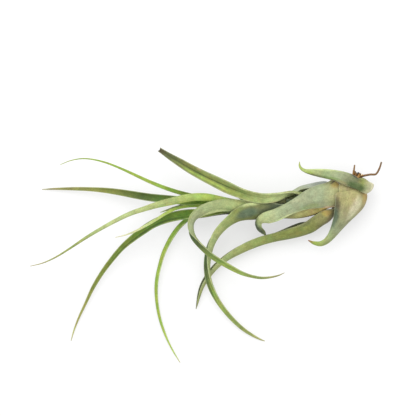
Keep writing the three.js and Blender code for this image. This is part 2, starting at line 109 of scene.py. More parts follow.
# %% The stem's line
# x, y, z of the middle, and the radius, in millimetres, from the root end to the growing tip.
STEM = np.array([
    (68.0, 35.1, 7.0, 2.3), (66.6, 32.0, 6.8, 2.7), (63.0, 27.9, 6.4, 3.0), (57.6, 24.8, 6.2, 3.0),
    (50.4, 23.4, 6.2, 2.9), (42.3, 22.7, 6.5, 2.7), (34.2, 22.3, 7.0, 2.5), (25.2, 22.1, 7.7, 2.2),
    (16.2, 21.8, 8.5, 1.6), (9.6, 21.6, 8.9, 0.9),
])
UP = np.array((0.0, 0.0, 1.0))
STEM_STEPS = 200
stem_rows = np.linspace(0, len(STEM) - 1, STEM_STEPS + 1)
stem_line = np.array([line_at(STEM[:, :3], at)[0] for at in stem_rows])
stem_reach = np.concatenate(([0], np.cumsum(np.linalg.norm(np.diff(stem_line, axis=0), axis=1))))
print(f"stem length: {stem_reach[-1]:.1f} mm")


def across_line(heading, turn):
    """A direction at right angles to heading, turned by `turn` degrees from facing up."""
    up = UP - heading * heading[2]
    up /= np.linalg.norm(up)
    return up * math.cos(math.radians(turn)) + np.cross(heading, up) * math.sin(math.radians(turn))


# %% [markdown]
# ## One leaf as a lofted channel
# An air plant's leaf is a channel. Its back is rounded, its front is hollow, and it tapers from a
# broad sheath on the stem to a fine tip. It could be a flat plane bent by modifiers, but then its
# width, its bend and its twist could not be set row by row. So each row of the table becomes one
# curved cross-section, and the sections are joined into a skin with a back, a front and rounded
# margins. Four numbers are kept on each point for the finish: how far along the leaf it is, how
# far across, whether it is on the front, and the distance along in millimetres.

# %% Cross-sections
RINGS_PER_ROW = 6
MARGIN_SHARE = 0.62  # thickness at the margins, as a share of the middle
CREASE_REACH = 0.16  # how far a crease spreads to each side, as a share of half the width


def sheath_section(along, around, radius, reach):
    """A section that clasps the stem: its middle, the way its channel opens, width and bend."""
    at = float(np.interp(along, stem_reach, stem_rows))
    middle, heading = line_at(STEM[:, :3], at)
    outward = across_line(heading, around)
    bend = math.radians(reach)
    return middle + outward * radius, -outward, 2 * radius * bend, bend


def blade_section(x, y, z, chord, turn, bend, heading):
    """A section of the free blade, from its table row and the leaf's heading there."""
    bend = math.radians(bend)
    opening = across_line(heading, turn)
    radius = chord / (2 * math.sin(bend))
    depth = radius * (1 - math.cos(bend))
    return np.array((x, y, z)) - opening * depth / 2, opening, 2 * radius * bend, bend


def leaf_sections(sheath, blade):
    """Every row of a leaf as a section, from its base to its tip."""
    clasping = [sheath_section(*row) for row in sheath]
    path = [section[0] for section in clasping] + [np.array(row[:3], float) for row in blade]
    free = []
    for at, row in enumerate(blade, start=len(clasping)):
        heading = path[min(at + 1, len(path) - 1)] - path[max(at - 1, 0)]
        free.append(blade_section(*row, heading / np.linalg.norm(heading)))
    return clasping + free


# Where the points of a section lie, from one margin (-1) to the other (1), closer at the margins.
inner_steps = np.linspace(-0.84, 0.84, 17)
ACROSS = np.concatenate(([-1, -0.985, -0.95, -0.9], inner_steps, [0.9, 0.95, 0.985, 1]))
print("points across one face of a leaf:", len(ACROSS))


# %% The skin of a leaf
def leaf_ring(middle, heading, opening, width, bend, thickness, crease):
    """The points round one section: the back from margin to margin, then the front back again."""
    side = np.cross(heading, opening)
    radius = width / (2 * bend)
    angle = ACROSS * bend
    fold = crease * np.exp(-((ACROSS / CREASE_REACH) ** 2))
    sideways = radius * np.sin(angle)
    lift = radius * (1 - np.cos(angle)) - fold
    point = middle + np.outer(sideways, side) + np.outer(lift, opening)
    inward = np.outer(np.cos(angle), opening) - np.outer(np.sin(angle), side)
    half = thickness * (1 - (1 - MARGIN_SHARE) * ACROSS**2) / 2
    rounding = min(thickness / max(width, thickness), 0.9)
    edge = np.clip((np.abs(ACROSS) - (1 - rounding)) / rounding, 0, 1)
    half = half * np.sqrt(1 - edge**2)
    back = point - inward * half[:, None]
    front = (point + inward * half[:, None])[1:-1][::-1]
    back[:, 2] = np.maximum(back[:, 2], 0)
    front[:, 2] = np.maximum(front[:, 2], thickness / 2)
    return np.vstack((back, front))


ring_across = np.concatenate((ACROSS, ACROSS[1:-1][::-1]))
ring_front = np.concatenate((np.zeros(len(ACROSS)), np.ones(len(ACROSS) - 2)))
ring_front[[0, len(ACROSS) - 1]] = 0.5
ring_size = len(ring_across)


def skin_object(name, rings, tip, numbers):
    """Joins rings of points into one closed mesh, and keeps the given numbers on its points."""
    count, size = len(rings), len(rings[0])
    points = np.vstack([*rings, tip]) * MM
    ring = np.arange(size)
    nxt = (ring + 1) % size
    faces = []
    for i in range(count - 1):
        a, b = i * size, (i + 1) * size
        faces += np.column_stack((a + ring, b + ring, b + nxt, a + nxt)).tolist()
    end = (count - 1) * size
    faces += [(end + k, count * size, end + n) for k, n in zip(ring.tolist(), nxt.tolist())]
    faces.append(ring.tolist())
    mesh = bpy.data.meshes.new(name)
    mesh.from_pydata(points.tolist(), [], faces)
    for key, values in numbers.items():
        mesh.attributes.new(key, "FLOAT", "POINT").data.foreach_set("value", values)
    mesh.validate()
    mesh.shade_smooth()
    piece = bpy.data.objects.new(name, mesh)
    bpy.context.scene.collection.objects.link(piece)
    return piece


def leaf_object(name, sheath, blade, thickness, crease, split):
    """One leaf's skin. split is how deep its dry end is notched, in millimetres."""
    sections = leaf_sections(sheath, blade)
    middles = np.array([section[0] for section in sections])
    last = len(sections) - 1
    rings, along, distance = [], [], []
    for step in range(last * RINGS_PER_ROW + 1):
        at = step / RINGS_PER_ROW
        middle, heading = line_at(middles, at)
        opening = np.array([value_at([s[1][k] for s in sections], at) for k in range(3)])
        opening -= heading * opening.dot(heading)
        opening /= np.linalg.norm(opening)
        width = value_at([s[2] for s in sections], at)
        bend = value_at([s[3] for s in sections], at)
        share = at / last
        thick = thickness[0] + (thickness[1] - thickness[0]) * share
        thick = min(thick, 0.5 * width)
        fold = crease * min(1, width / 4) * min(1, at)
        rings.append(leaf_ring(middle, heading, opening, width, bend, thick, fold))
        distance.append(0 if not along else distance[-1] + np.linalg.norm(middle - before))
        along.append(share)
        before = middle
    if split:
        depth = split * (1 - np.abs(ring_across))
        rings[-1] = rings[-1] - np.outer(depth, heading)
        rings[-2] = rings[-2] - np.outer(depth * 0.4, heading)
    tip = rings[-1].mean(axis=0) + heading * (0 if split else 0.4 * width)
    numbers = {
        "along": np.append(np.repeat(along, ring_size), 1.0),
        "across": np.append(np.tile(ring_across, len(rings)), 0.0),
        "front": np.append(np.tile(ring_front, len(rings)), 0.5),
        "distance": np.append(np.repeat(distance, ring_size), distance[-1]),
    }
    return skin_object(name, rings, tip, numbers), last, distance[-1]


# %% [markdown]
# ## A short way to write a finish
# A finish is a tree of nodes. Written out in full, each node takes four or five lines, so a small
# helper adds one node at a time, sets its inputs and returns its output. A number or colour given
# to it is set on the socket, and an output given to it is linked.


# %% Node helper
def linear(colour):
    """A colour written as #rrggbb, in the linear values that shaders work in."""
    parts = [int(colour[i : i + 2], 16) / 255 for i in (1, 3, 5)]
    return [p / 12.92 if p <= 0.04045 else ((p + 0.055) / 1.055) ** 2.4 for p in parts] + [1.0]


class Finish:
    """One material while it is being mixed."""

    def __init__(self, name):
        self.material = bpy.data.materials.new(name)
        self.material.use_nodes = True
        self.tree = self.material.node_tree
        self.tree.nodes.clear()

    def node(self, kind, inputs=None, output=0, **settings):
        made = self.tree.nodes.new("ShaderNode" + kind)
        for key, value in settings.items():
            setattr(made, key, value)
        for key, value in (inputs or {}).items():
            if isinstance(value, bpy.types.NodeSocket):
                self.tree.links.new(value, made.inputs[key])
            else:
                made.inputs[key].default_value = value
        return made.outputs[output] if len(made.outputs) else None

    def kept(self, name):
        """A number that was kept on the mesh's points."""
        return self.node("Attribute", output="Fac", attribute_name=name)

    def sum(self, operation, *values):
        return self.node("Math", dict(enumerate(values)), operation=operation)

    def between(self, value, low, high, to_low=0.0, to_high=1.0):
        inputs = {0: value, 1: low, 2: high, 3: to_low, 4: to_high}
        return self.node("MapRange", inputs, interpolation_type="SMOOTHSTEP")

    def blend(self, share, first, second):
        first, second = (linear(c) if isinstance(c, str) else c for c in (first, second))
        inputs = {0: share, 6: first, 7: second}
        return self.node("Mix", inputs, output=2, data_type="RGBA")

    def ramp(self, value, stops):
        """Colours along a value, from a list of (place, colour)."""
        made = self.tree.nodes.new("ShaderNodeValToRGB")
        self.tree.links.new(value, made.inputs[0])
        marks = made.color_ramp.elements
        while len(marks) < len(stops):
            marks.new(0.5)
        for mark, (place, colour) in zip(marks, stops):
            mark.position = min(max(place, 0), 1)
        for mark, (place, colour) in zip(marks, stops):
            mark.color = linear(colour)
        return made.outputs[0]


print("white in linear values:", linear("#ffffff"))

# %% [markdown]
# ## The leaf's finish
# A leaf of this plant has a green skin under a bloom of tiny grey scales, which drink from damp
# air. Old leaves near the base carry a thick bloom and look grey-green. Young leaves near the
# centre are nearly bare and bright. Fine veins run along every leaf, sheaths dry to tan where the
# leaf clasps the stem, and tips dry to brown. The finish lays these in order: a run of colours
# along the back and another along the front, oval patches, streaks along the veins, then the bloom
# over all. Some patches are real spots where the leaf is browner, darker or paler. Others are
# painted shade, painted shadow and painted highlights: darker in hollows, creases and gaps and on
# sides turned from the lamp, lighter on edges that face it. The numbers kept on the points say
# where each belongs, so the colours stay on the leaf however it curls. All leaves share one small
# set of named colours in round values, and each run of colours has only a few stops, because a leaf
# turns slowly from one colour to the next. The margins of a leaf are thinner and paler, so the last
# tenth on each side is mixed a little towards a pale straw green. This pale rim is also a painted
# highlight along the margins.

# %% The leaf's finish
BLOOM_COLOUR = "#98a094"
# pale straw for the thin margins, which also serves as a painted highlight along them
PALE_MARGIN_AND_HIGHLIGHT = "#c8cca4"
CREAM = "#c8c4a0"
STRAW = "#a8a464"
ROSE_TAN = "#c4a47c"
TAN = "#98905c"
DRY_TAN = "#888050"
OCHRE = "#b09040"
RUST = "#8a4a20"
BROWN = "#403418"
SLATE = "#888e88"
GREY_GREEN = "#868e68"
SAGE = "#8c9858"
PALE_SAGE = "#a0aa70"
PALE_GREEN = "#bcc888"
LIME = "#9cb44c"
BRIGHT_GREEN = "#7ca030"
FRESH_GREEN = "#849a38"
MOSS = "#7c8840"
LEAF_GREEN = "#5c7820"
OLIVE = "#707830"
DARK_OLIVE = "#505428"
# painted shade: a dull teal that stands in for the shade on flanks turned from the lamp
PAINTED_SHADE_TEAL = "#40543c"
DEEP_GREEN = "#3c5010"
DEEPEST_GREEN = "#243410"
# painted shadow: near-black green for shadows of one part on another and for deep gaps
PAINTED_SHADOW_BLACK_GREEN = "#101808"
SCALES = 2600.0  # bloom scales to a metre, so one is about 0.4 mm
CLOUDS = 420.0  # paler and darker clouds to a metre
TINTS = 260.0  # warmer and cooler clouds to a metre
STREAKS = 14.0  # how much finer the broad streaks are across the leaf than along it
FINE_STREAKS = 60.0
FACE_REACH = 0.62  # how far a patch on one face reaches towards the other


def patch(colour, row, across, rows, width, strength=0.8, face="both"):
    """An oval of colour, `rows` long and `width` wide to each side of its middle."""
    return colour, row, across, rows, width, strength, face


def leaf_finish(name, last, back, front, patches, bloom, seed):
    """The material of one leaf. Colours are given by row, and last is its last row."""
    mix = Finish(name)
    along, across, side = mix.kept("along"), mix.kept("across"), mix.kept("front")
    distance = mix.kept("distance")
    place = mix.node("CombineXYZ", {0: distance, 1: mix.sum("MULTIPLY", across, STREAKS), 2: seed})
    streak = mix.node("TexNoise", {"Vector": place, "Scale": 0.22, "Detail": 3.0})
    finer_across = mix.sum("MULTIPLY", across, FINE_STREAKS)
    fine_place = mix.node("CombineXYZ", {0: distance, 1: finer_across, 2: seed})
    fine_streak = mix.node("TexNoise", {"Vector": fine_place, "Scale": 0.30, "Detail": 2.0})
    here = mix.node("TexCoord", output="Object")
    mottle = mix.node("TexNoise", {"Vector": here, "Scale": CLOUDS, "Detail": 3.0})
    scales = mix.node("TexNoise", {"Vector": here, "Scale": SCALES, "Detail": 2.0})
    tint = mix.node("TexNoise", {"Vector": here, "Scale": TINTS, "Detail": 4.0, "Roughness": 0.7})

    skins = []
    for stops in (back, front):
        skins.append(mix.ramp(along, [(row / last, colour) for row, colour in stops]))
    skin = mix.blend(mix.between(side, 0.4, 0.6), *skins)

    wander = mix.sum("MULTIPLY_ADD", streak, 0.24, mix.sum("SUBTRACT", across, 0.12))
    spot = mix.node("CombineXYZ", {0: along, 1: wander, 2: side})
    for colour, row, middle, rows, width, strength, face in patches:
        depth = 0.0 if face == "both" else 1 / FACE_REACH
        centre_face = 1.0 if face == "front" else 0.0
        scale = (last / rows, 1 / width, depth)
        offset = (-row / rows, -middle / width, -centre_face * depth)
        inputs = {0: spot, 1: scale, 2: offset}
        from_middle = mix.node("VectorMath", inputs, operation="MULTIPLY_ADD")
        away = mix.node("VectorMath", {0: from_middle}, output="Value", operation="LENGTH")
        skin = mix.blend(mix.between(away, 1.0, 0.35, 0.0, strength), skin, colour)

    # pale margins, partly real colour and partly a painted highlight along the edges
    margin_and_highlight = mix.between(mix.sum("ABSOLUTE", across), 0.86, 0.99, 0.0, 0.3)
    skin = mix.blend(margin_and_highlight, skin, PALE_MARGIN_AND_HIGHLIGHT)

    lighter = mix.sum("MULTIPLY_ADD", streak, 0.50, 0.57)
    finer = mix.sum("MULTIPLY_ADD", fine_streak, 0.44, 0.78)
    speck = mix.sum("MULTIPLY_ADD", scales, 1.10, 0.45)
    cloud = mix.sum("MULTIPLY_ADD", mottle, 0.70, 0.65)
    streaked, clouded = mix.sum("MULTIPLY", lighter, finer), mix.sum("MULTIPLY", speck, cloud)
    tone = mix.sum("MULTIPLY", streaked, clouded)
    warmer = mix.sum("MULTIPLY_ADD", tint, -0.14, 0.57)
    skin = mix.node("HueSaturation", {"Color": skin, "Hue": warmer, "Value": tone})

    thick = mix.sum("MULTIPLY", mix.between(mottle, 0.25, 0.75, 0.5, 1.0), bloom)
    cover = mix.sum("MULTIPLY", thick, mix.between(scales, 0.35, 0.65, 0.55, 1.0))
    skin = mix.blend(cover, skin, BLOOM_COLOUR)

    vein = mix.sum("SINE", mix.sum("MULTIPLY", across, 30.0))
    relief = mix.sum("MULTIPLY_ADD", vein, 0.3, mix.sum("ADD", scales, fine_streak))
    bump_inputs = {"Height": relief, "Strength": 0.5, "Distance": 0.05 * MM}
    bump = mix.node("Bump", bump_inputs, output="Normal")
    inputs = {
        "Base Color": skin,
        "Roughness": mix.between(scales, 0.3, 0.7, 0.52, 0.68),
        "Normal": bump,
        "Sheen Weight": 0.03,
        "Sheen Roughness": 0.45,
        "Specular IOR Level": 0.22,
    }
    shader = mix.node("BsdfPrincipled", inputs)
    mix.node("OutputMaterial", {0: shader})
    return mix.material


# %% Grow one leaf
def grow_leaf(name, stands_for, sheath, blade, thickness, back, front, patches=(), bloom=0.2,
              crease=0.0, split=0.0):
    """Makes one leaf, dresses it, and puts it in the place of its measured piece."""
    leaf, last, length = leaf_object(name, sheath, blade, thickness, crease, split)
    seed = float(int(stands_for[-2:]))
    finish = leaf_finish(name + "_skin", last, back, front, patches, bloom, seed)
    leaf.data.materials.append(finish)
    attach(leaf, "root")
    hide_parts(stands_for)
    print(f"{name}: {length:.0f} mm long, {len(leaf.data.vertices)} points")
    return leaf

# %% [markdown]
# ## Leaf 01: the short leaf on top
# The oldest leaf starts under the root end, folds over the top of the bulb and reaches left to a
# small upturned hook. Its bloom is thick, so it is pale grey-green. Its upper edge carries a painted
# highlight, its lower margin is darkened with painted shade, and a near-black spot under the root
# stubs is a painted shadow.

# %% Leaf 01
grow_leaf(
    "leaf_01_short_top",
    stands_for="leaf_01",
    sheath=[],
    blade=[
        (71.7, 32.3, 6.6, 3.1, 10, 40), (73.8, 30.2, 8.7, 4.5, 15, 50),
        (72.9, 30.2, 12.2, 5.5, 190, 58), (70.4, 31.7, 14.6, 6.1, 196, 60),
        (67.7, 32.4, 15.4, 5, 198, 58), (64.4, 34, 15.6, 6.1, 204, 58),
        (60.3, 35.5, 15.4, 5.5, 206, 55), (55.8, 36.4, 15, 4.9, 206, 52),
        (51.3, 37, 14.8, 4.1, 206, 50), (47.5, 37.4, 14.8, 2.9, 206, 48),
        (44.7, 37.9, 15.1, 1.8, 206, 45), (42.8, 39, 15.6, 1.3, 208, 40),
        (42.1, 40.4, 16.2, 0.9, 208, 35), (42.1, 41.9, 17, 0.4, 208, 22),
    ],
    thickness=(1.4, 0.6),
    back=[
        (0, DRY_TAN), (1.6, CREAM), (3.2, OLIVE), (4, DARK_OLIVE), (6, GREY_GREEN), (9, SAGE),
        (13, LIME),
    ],
    front=[(0, BROWN), (5, DARK_OLIVE), (13, FRESH_GREEN)],
    patches=[
        # painted highlight on the upper edge, which faces the lamp
        patch(PALE_GREEN, 8.0, -0.75, 3.2, 0.6, 0.65),
        # painted shade along the lower margin and near the base, the side turned from the lamp
        patch(DARK_OLIVE, 8.3, 0.85, 2.6, 0.45, 0.85),
        patch(DEEP_GREEN, 3.9, 0.5, 1.7, 0.6, 0.95),
        patch(LEAF_GREEN, 6.4, 0.75, 1.8, 0.4, 0.5),
        patch(DRY_TAN, 5.6, 0.85, 0.9, 0.4, 0.7),
        patch(BROWN, 6.6, 1.0, 0.8, 0.25, 0.8),
        patch(FRESH_GREEN, 9.4, 0.4, 0.9, 0.4, 0.8),
        patch(DRY_TAN, 11.3, 0.95, 0.8, 0.25, 0.7),
        # painted shadow of the root stubs on the top of the leaf
        patch(PAINTED_SHADOW_BLACK_GREEN, 4.5, -0.7, 0.75, 0.33, 0.98),
    ],
    bloom=0.14,
)

# %% [markdown]
# ## Leaf 02: the leaf that hooks down on the right
# This leaf clasps the bulb on the right and narrows to a hook that turns left. It is tan and
# olive where it is old, with a pale band along its middle that is a painted highlight, and green
# again in the hook. Its left margin, where it turns under, is darkened with painted shade.

# %% Leaf 02
grow_leaf(
    "leaf_02_right_hook",
    stands_for="leaf_02",
    sheath=[
        (1.6, -30, 3.9, 58),
    ],
    blade=[
        (66.2, 31, 10.8, 12.4, 150, 62), (66.6, 28.4, 11.6, 15.5, 147, 62),
        (66.3, 25.7, 11.8, 16.7, 146, 62), (65.2, 22.5, 11.4, 15.7, 145, 62),
        (63.3, 19.1, 10.4, 12.6, 143, 60), (61.1, 15.5, 9.2, 8.8, 141, 58),
        (58.6, 11.6, 8, 5.8, 140, 56), (56.2, 8.2, 7.2, 4, 138, 54), (53.9, 6, 6.8, 3.3, 136, 52),
        (51.4, 5, 6.6, 2.9, 134, 50), (48.7, 5.4, 6.7, 2, 134, 45), (46.1, 6.6, 7.1, 0.6, 134, 22),
    ],
    thickness=(1.9, 0.7),
    back=[(0, DRY_TAN), (3.5, TAN), (7, GREY_GREEN), (9, SAGE), (11, FRESH_GREEN), (12, RUST)],
    front=[(0, BROWN), (5, DARK_OLIVE), (12, OLIVE)],
    patches=[
        patch(OCHRE, 2.2, 0.6, 1.5, 0.5, 0.7),
        patch(CREAM, 4.0, 0.95, 2.5, 0.25, 0.6),
        # painted highlight along the middle of the rounded back
        patch(CREAM, 4.1, 0.1, 2.0, 0.32, 0.75),
        patch(DRY_TAN, 3.3, -0.75, 1.4, 0.5, 0.6),
        patch(TAN, 0.9, -0.5, 0.7, 0.5, 0.6),
        # painted shade on the left margin, where the leaf turns under
        patch(BROWN, 5.0, -1.0, 2.2, 0.55, 0.9),
        patch(PAINTED_SHADE_TEAL, 6.1, -0.95, 1.5, 0.65, 0.9),
    ],
    bloom=0.12,
)

# %% [markdown]
# ## Leaf 03: the leaf behind the bulb
# Most of this leaf lies behind the others, and only a grey strip of it shows. The plant rests
# partly on it, so its back is flattened where it meets the surface. Its hollow front near the base
# is painted pale, a painted light that lifts the shade of the recess it lies in.

# %% Leaf 03
grow_leaf(
    "leaf_03_behind",
    stands_for="leaf_03",
    sheath=[
        (8, 108, 7, 36), (13, 118, 5.5, 52),
    ],
    blade=[
        (54.5, 29.8, 3.1, 10.6, 304, 82), (46.8, 28.9, 2.7, 9.7, 306, 82),
        (42.3, 28.3, 2.45, 7.9, 304, 78), (38.7, 27.1, 2.9, 5.9, 296, 72),
        (35.1, 26.1, 2.6, 4, 291, 62), (31.5, 25.4, 2.1, 2.5, 286, 52), (28.4, 25.1, 1.6, 0.8, 280, 22),
    ],
    thickness=(1.6, 0.6),
    back=[(0, DRY_TAN), (2, SLATE), (6, PALE_SAGE), (8, SAGE)],
    # painted light: the pale front near the base offsets the shade of the recess
    front=[(0, CREAM), (5, PALE_GREEN), (6.5, GREY_GREEN), (8, DARK_OLIVE)],
    bloom=0.3,
)

# %% [markdown]
# ## Leaf 04: the broad leaf in front
# The broadest leaf lies over the front of the bulb and ends in a short curl. Its bloom is thick,
# its margins are pale, and the hollow side that shows in the curl is darkened with painted shade.
# The edge of the fold in the curl carries a painted highlight.

# %% Leaf 04
grow_leaf(
    "leaf_04_broad_front",
    stands_for="leaf_04",
    sheath=[
        (7.6, 22, 4.1, 56),
    ],
    blade=[
        (60.8, 28.7, 10.1, 12.2, 174, 62), (56.2, 27.1, 12.2, 11.3, 175, 60),
        (51.3, 26.3, 13.5, 10.3, 176, 55), (46.8, 25.1, 14.3, 8.8, 177, 48),
        (42.3, 23.2, 14.9, 6.7, 178, 40), (36.9, 20.6, 15.1, 5.6, 180, 36),
        (31.5, 18, 15, 5.6, 180, 38), (27.4, 16.7, 14.7, 5.5, 176, 42), (24.9, 15.4, 13, 4.6, 152, 54),
        (23.9, 13.7, 10.2, 3.7, 112, 70), (24.3, 11.7, 7.6, 3.3, 84, 88), (25.6, 10.1, 5.8, 3, 76, 92),
        (26.7, 8.7, 4.8, 0.9, 72, 30),
    ],
    thickness=(1.6, 0.7),
    back=[
        (0, TAN), (1, STRAW), (3, GREY_GREEN), (6, GREY_GREEN), (8.5, PALE_SAGE), (11, SAGE),
        (13, DARK_OLIVE),
    ],
    front=[(0, BROWN), (6, DARK_OLIVE), (13, DEEP_GREEN)],
    patches=[
        patch(MOSS, 4.2, 0.65, 1.6, 0.4, 0.5),
        patch(PALE_GREEN, 6.8, 0.95, 3.2, 0.34, 0.85),
        # painted shade in the hollow of the curl
        patch(DEEPEST_GREEN, 10.4, -0.9, 2.2, 0.8, 0.97),
        # painted highlight on the edge of the fold
        patch(PALE_GREEN, 10.6, 0.2, 1.8, 0.5, 0.85, "back"),
        patch(TAN, 1.6, 0.5, 0.8, 0.7, 0.5),
        patch(ROSE_TAN, 2.0, 0.95, 1.3, 0.3, 0.8),
        patch(OCHRE, 1.3, -0.55, 0.8, 0.35, 0.75),
        patch(BROWN, 1.2, -0.72, 0.9, 0.1, 0.8),
    ],
    bloom=0.2,
)

# %% [markdown]
# ## Leaf 05: the lower leaf
# This leaf leaves the bulb low on the front. Its base is orange and tan where the sheath has
# dried, and its channel faces up, so a dark band of its hollow shows along the upper margin; that
# band is painted shade. The very base end is painted near-black, a painted shade for the gap
# beside it.

# %% Leaf 05
grow_leaf(
    "leaf_05_lower",
    stands_for="leaf_05",
    sheath=[
        (14.5, -102, 4.05, 46),
    ],
    blade=[
        (54.7, 17.8, 5.9, 8.5, 112, 78), (51.1, 15.4, 5.6, 8.6, 112, 80), (47, 13, 5.2, 8.2, 95, 98),
        (42.3, 11.5, 4.9, 6.9, 82, 112), (36.9, 9.9, 4.5, 6.1, 84, 112), (31.1, 8.3, 4.1, 4.9, 90, 110),
        (25.2, 6.7, 3.9, 4.8, 92, 110), (19.4, 4.5, 3.7, 4.7, 92, 110), (13.9, 1.8, 3.4, 4.4, 88, 108),
        (8.9, -1.3, 2.9, 3.7, 84, 104), (4, -5.5, 2.5, 3.3, 78, 100), (0.5, -10, 2.2, 3, 72, 98),
        (-1.8, -14, 2, 2.6, 72, 95), (-3.1, -17.8, 1.8, 2, 72, 92), (-3.9, -21.2, 1.8, 1.3, 70, 72),
        (-4.5, -24.2, 2.3, 0.5, 62, 22),
    ],
    thickness=(1.5, 0.6),
    back=[
        # painted shade: near-black at the base end, in the gap beside leaf 02
        (0, PAINTED_SHADOW_BLACK_GREEN), (1, DRY_TAN), (3, OLIVE), (5, OLIVE), (7, MOSS), (12, PALE_SAGE), (15, OLIVE),
    ],
    # painted shade in the hollow of the channel
    front=[(0, BROWN), (3, DEEPEST_GREEN), (10, OLIVE), (13, DEEPEST_GREEN), (15, DARK_OLIVE)],
    patches=[
        patch(OCHRE, 1.0, -0.75, 0.5, 0.45, 0.6),
        # painted shade along the upper margin
        patch(DARK_OLIVE, 3.2, -1.0, 1.2, 0.35, 0.6),
        patch(BROWN, 4.6, 0.9, 0.4, 0.35, 0.8),
    ],
    bloom=0.1,
)

# %% [markdown]
# ## Leaf 06: the long upper leaf
# This leaf reaches up and left, and shows its hollow front. A dark line of painted shade runs
# down the middle of the channel, in its crease. Its end has dried to dark olive and split.

# %% Leaf 06
grow_leaf(
    "leaf_06_long_upper",
    stands_for="leaf_06",
    sheath=[
        (24, 78, 4.2, 44), (30, 76, 4.9, 46),
    ],
    blade=[
        (37.8, 27.6, 11.6, 4.5, 292, 48), (31.1, 26, 14.1, 5, 322, 42), (25.2, 25.6, 14.9, 5, 334, 44),
        (19.8, 26.6, 15.2, 4.9, 338, 50), (15.3, 28.2, 15.8, 5.3, 326, 58),
        (9.9, 30.4, 16.3, 5.4, 342, 56), (4, 33.2, 16.9, 5, 350, 55), (-1.8, 36, 17.6, 4.5, 353, 54),
        (-7.2, 38.9, 18.3, 4.1, 355, 52), (-11.7, 41.6, 18.9, 3.6, 356, 50),
        (-16.2, 44.3, 19.5, 2.8, 356, 48), (-19.4, 46.4, 19.9, 2.2, 356, 45),
        (-21.2, 47.6, 20.1, 2, 356, 42),
    ],
    thickness=(1.3, 0.8),
    back=[(0, SAGE), (9, MOSS), (14, BROWN)],
    front=[
        (0, OLIVE), (2, PALE_GREEN), (4, SAGE), (6, MOSS), (9, OLIVE), (12, DARK_OLIVE), (14, BROWN),
    ],
    patches=[
        patch(SAGE, 7.0, 0.75, 3.5, 0.4, 0.6, "front"),
        patch(LIME, 8.6, -0.5, 4.0, 0.35, 0.5, "front"),
        # painted shade in the crease down the middle of the channel
        patch(DEEP_GREEN, 8.8, 0.02, 5.0, 0.15, 0.9, "front"),
        patch(TAN, 3.3, -0.95, 0.7, 0.2, 0.6),
        patch(ROSE_TAN, 9.4, 0.8, 0.3, 0.25, 0.5),
    ],
    bloom=0.08,
    crease=0.3,
    split=1.1,
)

# %% [markdown]
# ## Leaf 07: the leaf with the tan sheath
# A long tan sheath clasps the front of the stem. From it the leaf rises over the middle of the
# plant, turns, and sweeps down to the lowest point on the right. Its flank turned from the lamp is
# darkened with painted shade, the gap between the leaves above its sheath is painted deep green as
# painted shade, and its upper edge carries a painted highlight.

# %% Leaf 07
grow_leaf(
    "leaf_07_tan_sheath",
    stands_for="leaf_07",
    sheath=[
        (17.5, -6, 3.95, 38), (21, -18, 3.95, 48), (26, -41, 4.9, 57), (32, -49, 5.7, 56),
        (40, -46, 5.3, 54),
    ],
    blade=[
        (25.2, 19.5, 12, 8.3, 152, 62), (19.8, 19.1, 12.6, 8.6, 148, 62),
        (15.3, 17.8, 12.4, 7.8, 138, 62), (11.2, 15.4, 11.5, 6.4, 124, 64),
        (7.4, 12.4, 10.4, 6.3, 106, 75), (4.5, 9.2, 9.4, 6.1, 94, 82), (2.4, 5.4, 8.5, 5.5, 86, 85),
        (1.3, 1.8, 7.7, 5.1, 80, 84), (0.7, -2.2, 7, 4.7, 73, 80), (0.6, -6.3, 6.3, 4.2, 65, 72),
        (1.3, -11.2, 5.4, 3.8, 55, 64), (3.1, -16.2, 4.6, 3.3, 46, 58), (5.6, -20.9, 3.9, 2.7, 40, 55),
        (8.7, -25.2, 3.3, 2.4, 36, 52), (12.5, -29.5, 2.3, 2.1, 34, 50),
        (16.7, -33.3, 1.6, 1.8, 32, 48), (21.2, -36.3, 1, 1.3, 32, 44), (24.3, -37.9, 0.6, 0.8, 32, 36),
        (26.4, -38.7, 0.35, 0.4, 32, 22),
    ],
    thickness=(1.4, 0.6),
    back=[
        (0, OCHRE), (3, STRAW), (4.6, DARK_OLIVE), (7, OLIVE), (9, SAGE), (12, PALE_SAGE), (14, SAGE),
        (23, STRAW),
    ],
    front=[(0, BROWN), (12, DEEP_GREEN), (14, DEEP_GREEN), (16, FRESH_GREEN), (20, MOSS), (23, STRAW)],
    patches=[
        # painted shade on the flank turned from the lamp, and in the gap above the sheath
        patch(PAINTED_SHADE_TEAL, 6.3, -0.2, 1.5, 0.6, 0.88),
        patch(DEEPEST_GREEN, 4.7, -0.15, 0.8, 0.4, 0.75),
        # painted highlight on the upper edge, which faces the lamp
        patch(PALE_GREEN, 5.8, -0.95, 1.0, 0.34, 0.75),
        # painted shade in the gap between leaves 04 and 06
        patch(DEEPEST_GREEN, 4.0, -0.5, 1.05, 1.0, 0.98),
        patch(PALE_GREEN, 9.5, 0.2, 2.0, 0.3, 0.7, "back"),
        patch(DEEP_GREEN, 15.4, 0.7, 2.5, 0.5, 0.85, "front"),
    ],
    bloom=0.12,
)

# %% [markdown]
# ## Leaf 08: the leaf underneath
# The spiral of leaves needs one more on the hidden side. The plant lies on it. It is shorter than
# its neighbours and greyish, as a leaf that gets little light is.

# %% Leaf 08
grow_leaf(
    "leaf_08_underneath",
    stands_for="leaf_08",
    sheath=[
        (27, 186, 4.1, 42), (34, 184, 4.6, 44),
    ],
    blade=[
        (31.5, 20.9, 2.5, 7.7, 4, 52), (26.1, 21.9, 1.9, 6.8, 4, 52), (21.2, 23.9, 1.3, 5.6, 4, 50),
        (16.7, 26.4, 0.8, 3.9, 4, 46), (12.8, 28.8, 0.5, 2.1, 2, 40), (10.3, 30.4, 0.45, 0.7, 0, 22),
    ],
    thickness=(1.3, 0.6),
    back=[(0, DARK_OLIVE), (7, SAGE)],
    front=[(0, DEEPEST_GREEN), (7, OLIVE)],
    bloom=0.2,
)

